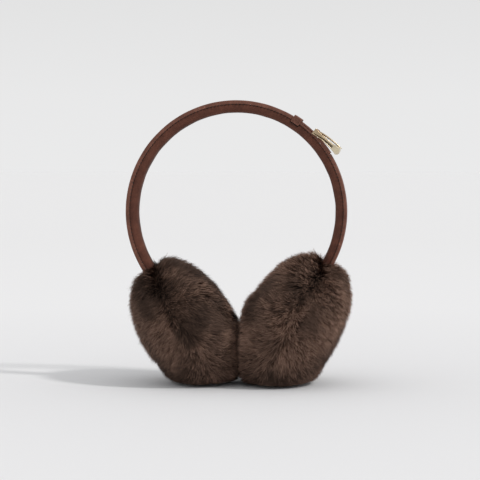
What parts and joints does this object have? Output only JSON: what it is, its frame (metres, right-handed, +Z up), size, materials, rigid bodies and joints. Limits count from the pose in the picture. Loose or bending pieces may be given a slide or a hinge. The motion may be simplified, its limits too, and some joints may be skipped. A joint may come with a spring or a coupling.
{
  "type": "fur earmuffs",
  "caption": "Earmuffs with a padded leather headband, a buckled leather strap along its outer face and plump fur muffs that stand on a surface.",
  "frame": {"origin": "on the surface that the muffs stand on, under the middle of the object's bounding box", "axes": "+Z up, +X towards the wearer's side that carries the buckle, +Y from the front to the back of the headband"},
  "size_m": [0.1709, 0.1062, 0.2139],
  "materials": {
    "headband_leather": "matt napped leather, reddish brown",
    "strap_leather": "napped leather, a little lighter and smoother than the pad",
    "gold_metal": "polished pale gold",
    "fur": "deep dark brown plush fur with lighter tips"
  },
  "bodies": {
    "root": {"headband_pad": "headband_leather", "headband_strap": "strap_leather", "headband_strap_right": "strap_leather", "strap_keeper": "strap_leather", "buckle_loop": "strap_leather", "buckle_frame": "gold_metal", "buckle_prong": "gold_metal", "muff_left_cover": "fur", "muff_left_ear_pad": "fur", "muff_right_cover": "fur", "muff_right_ear_pad": "fur"}
  },
  "joints": []
}
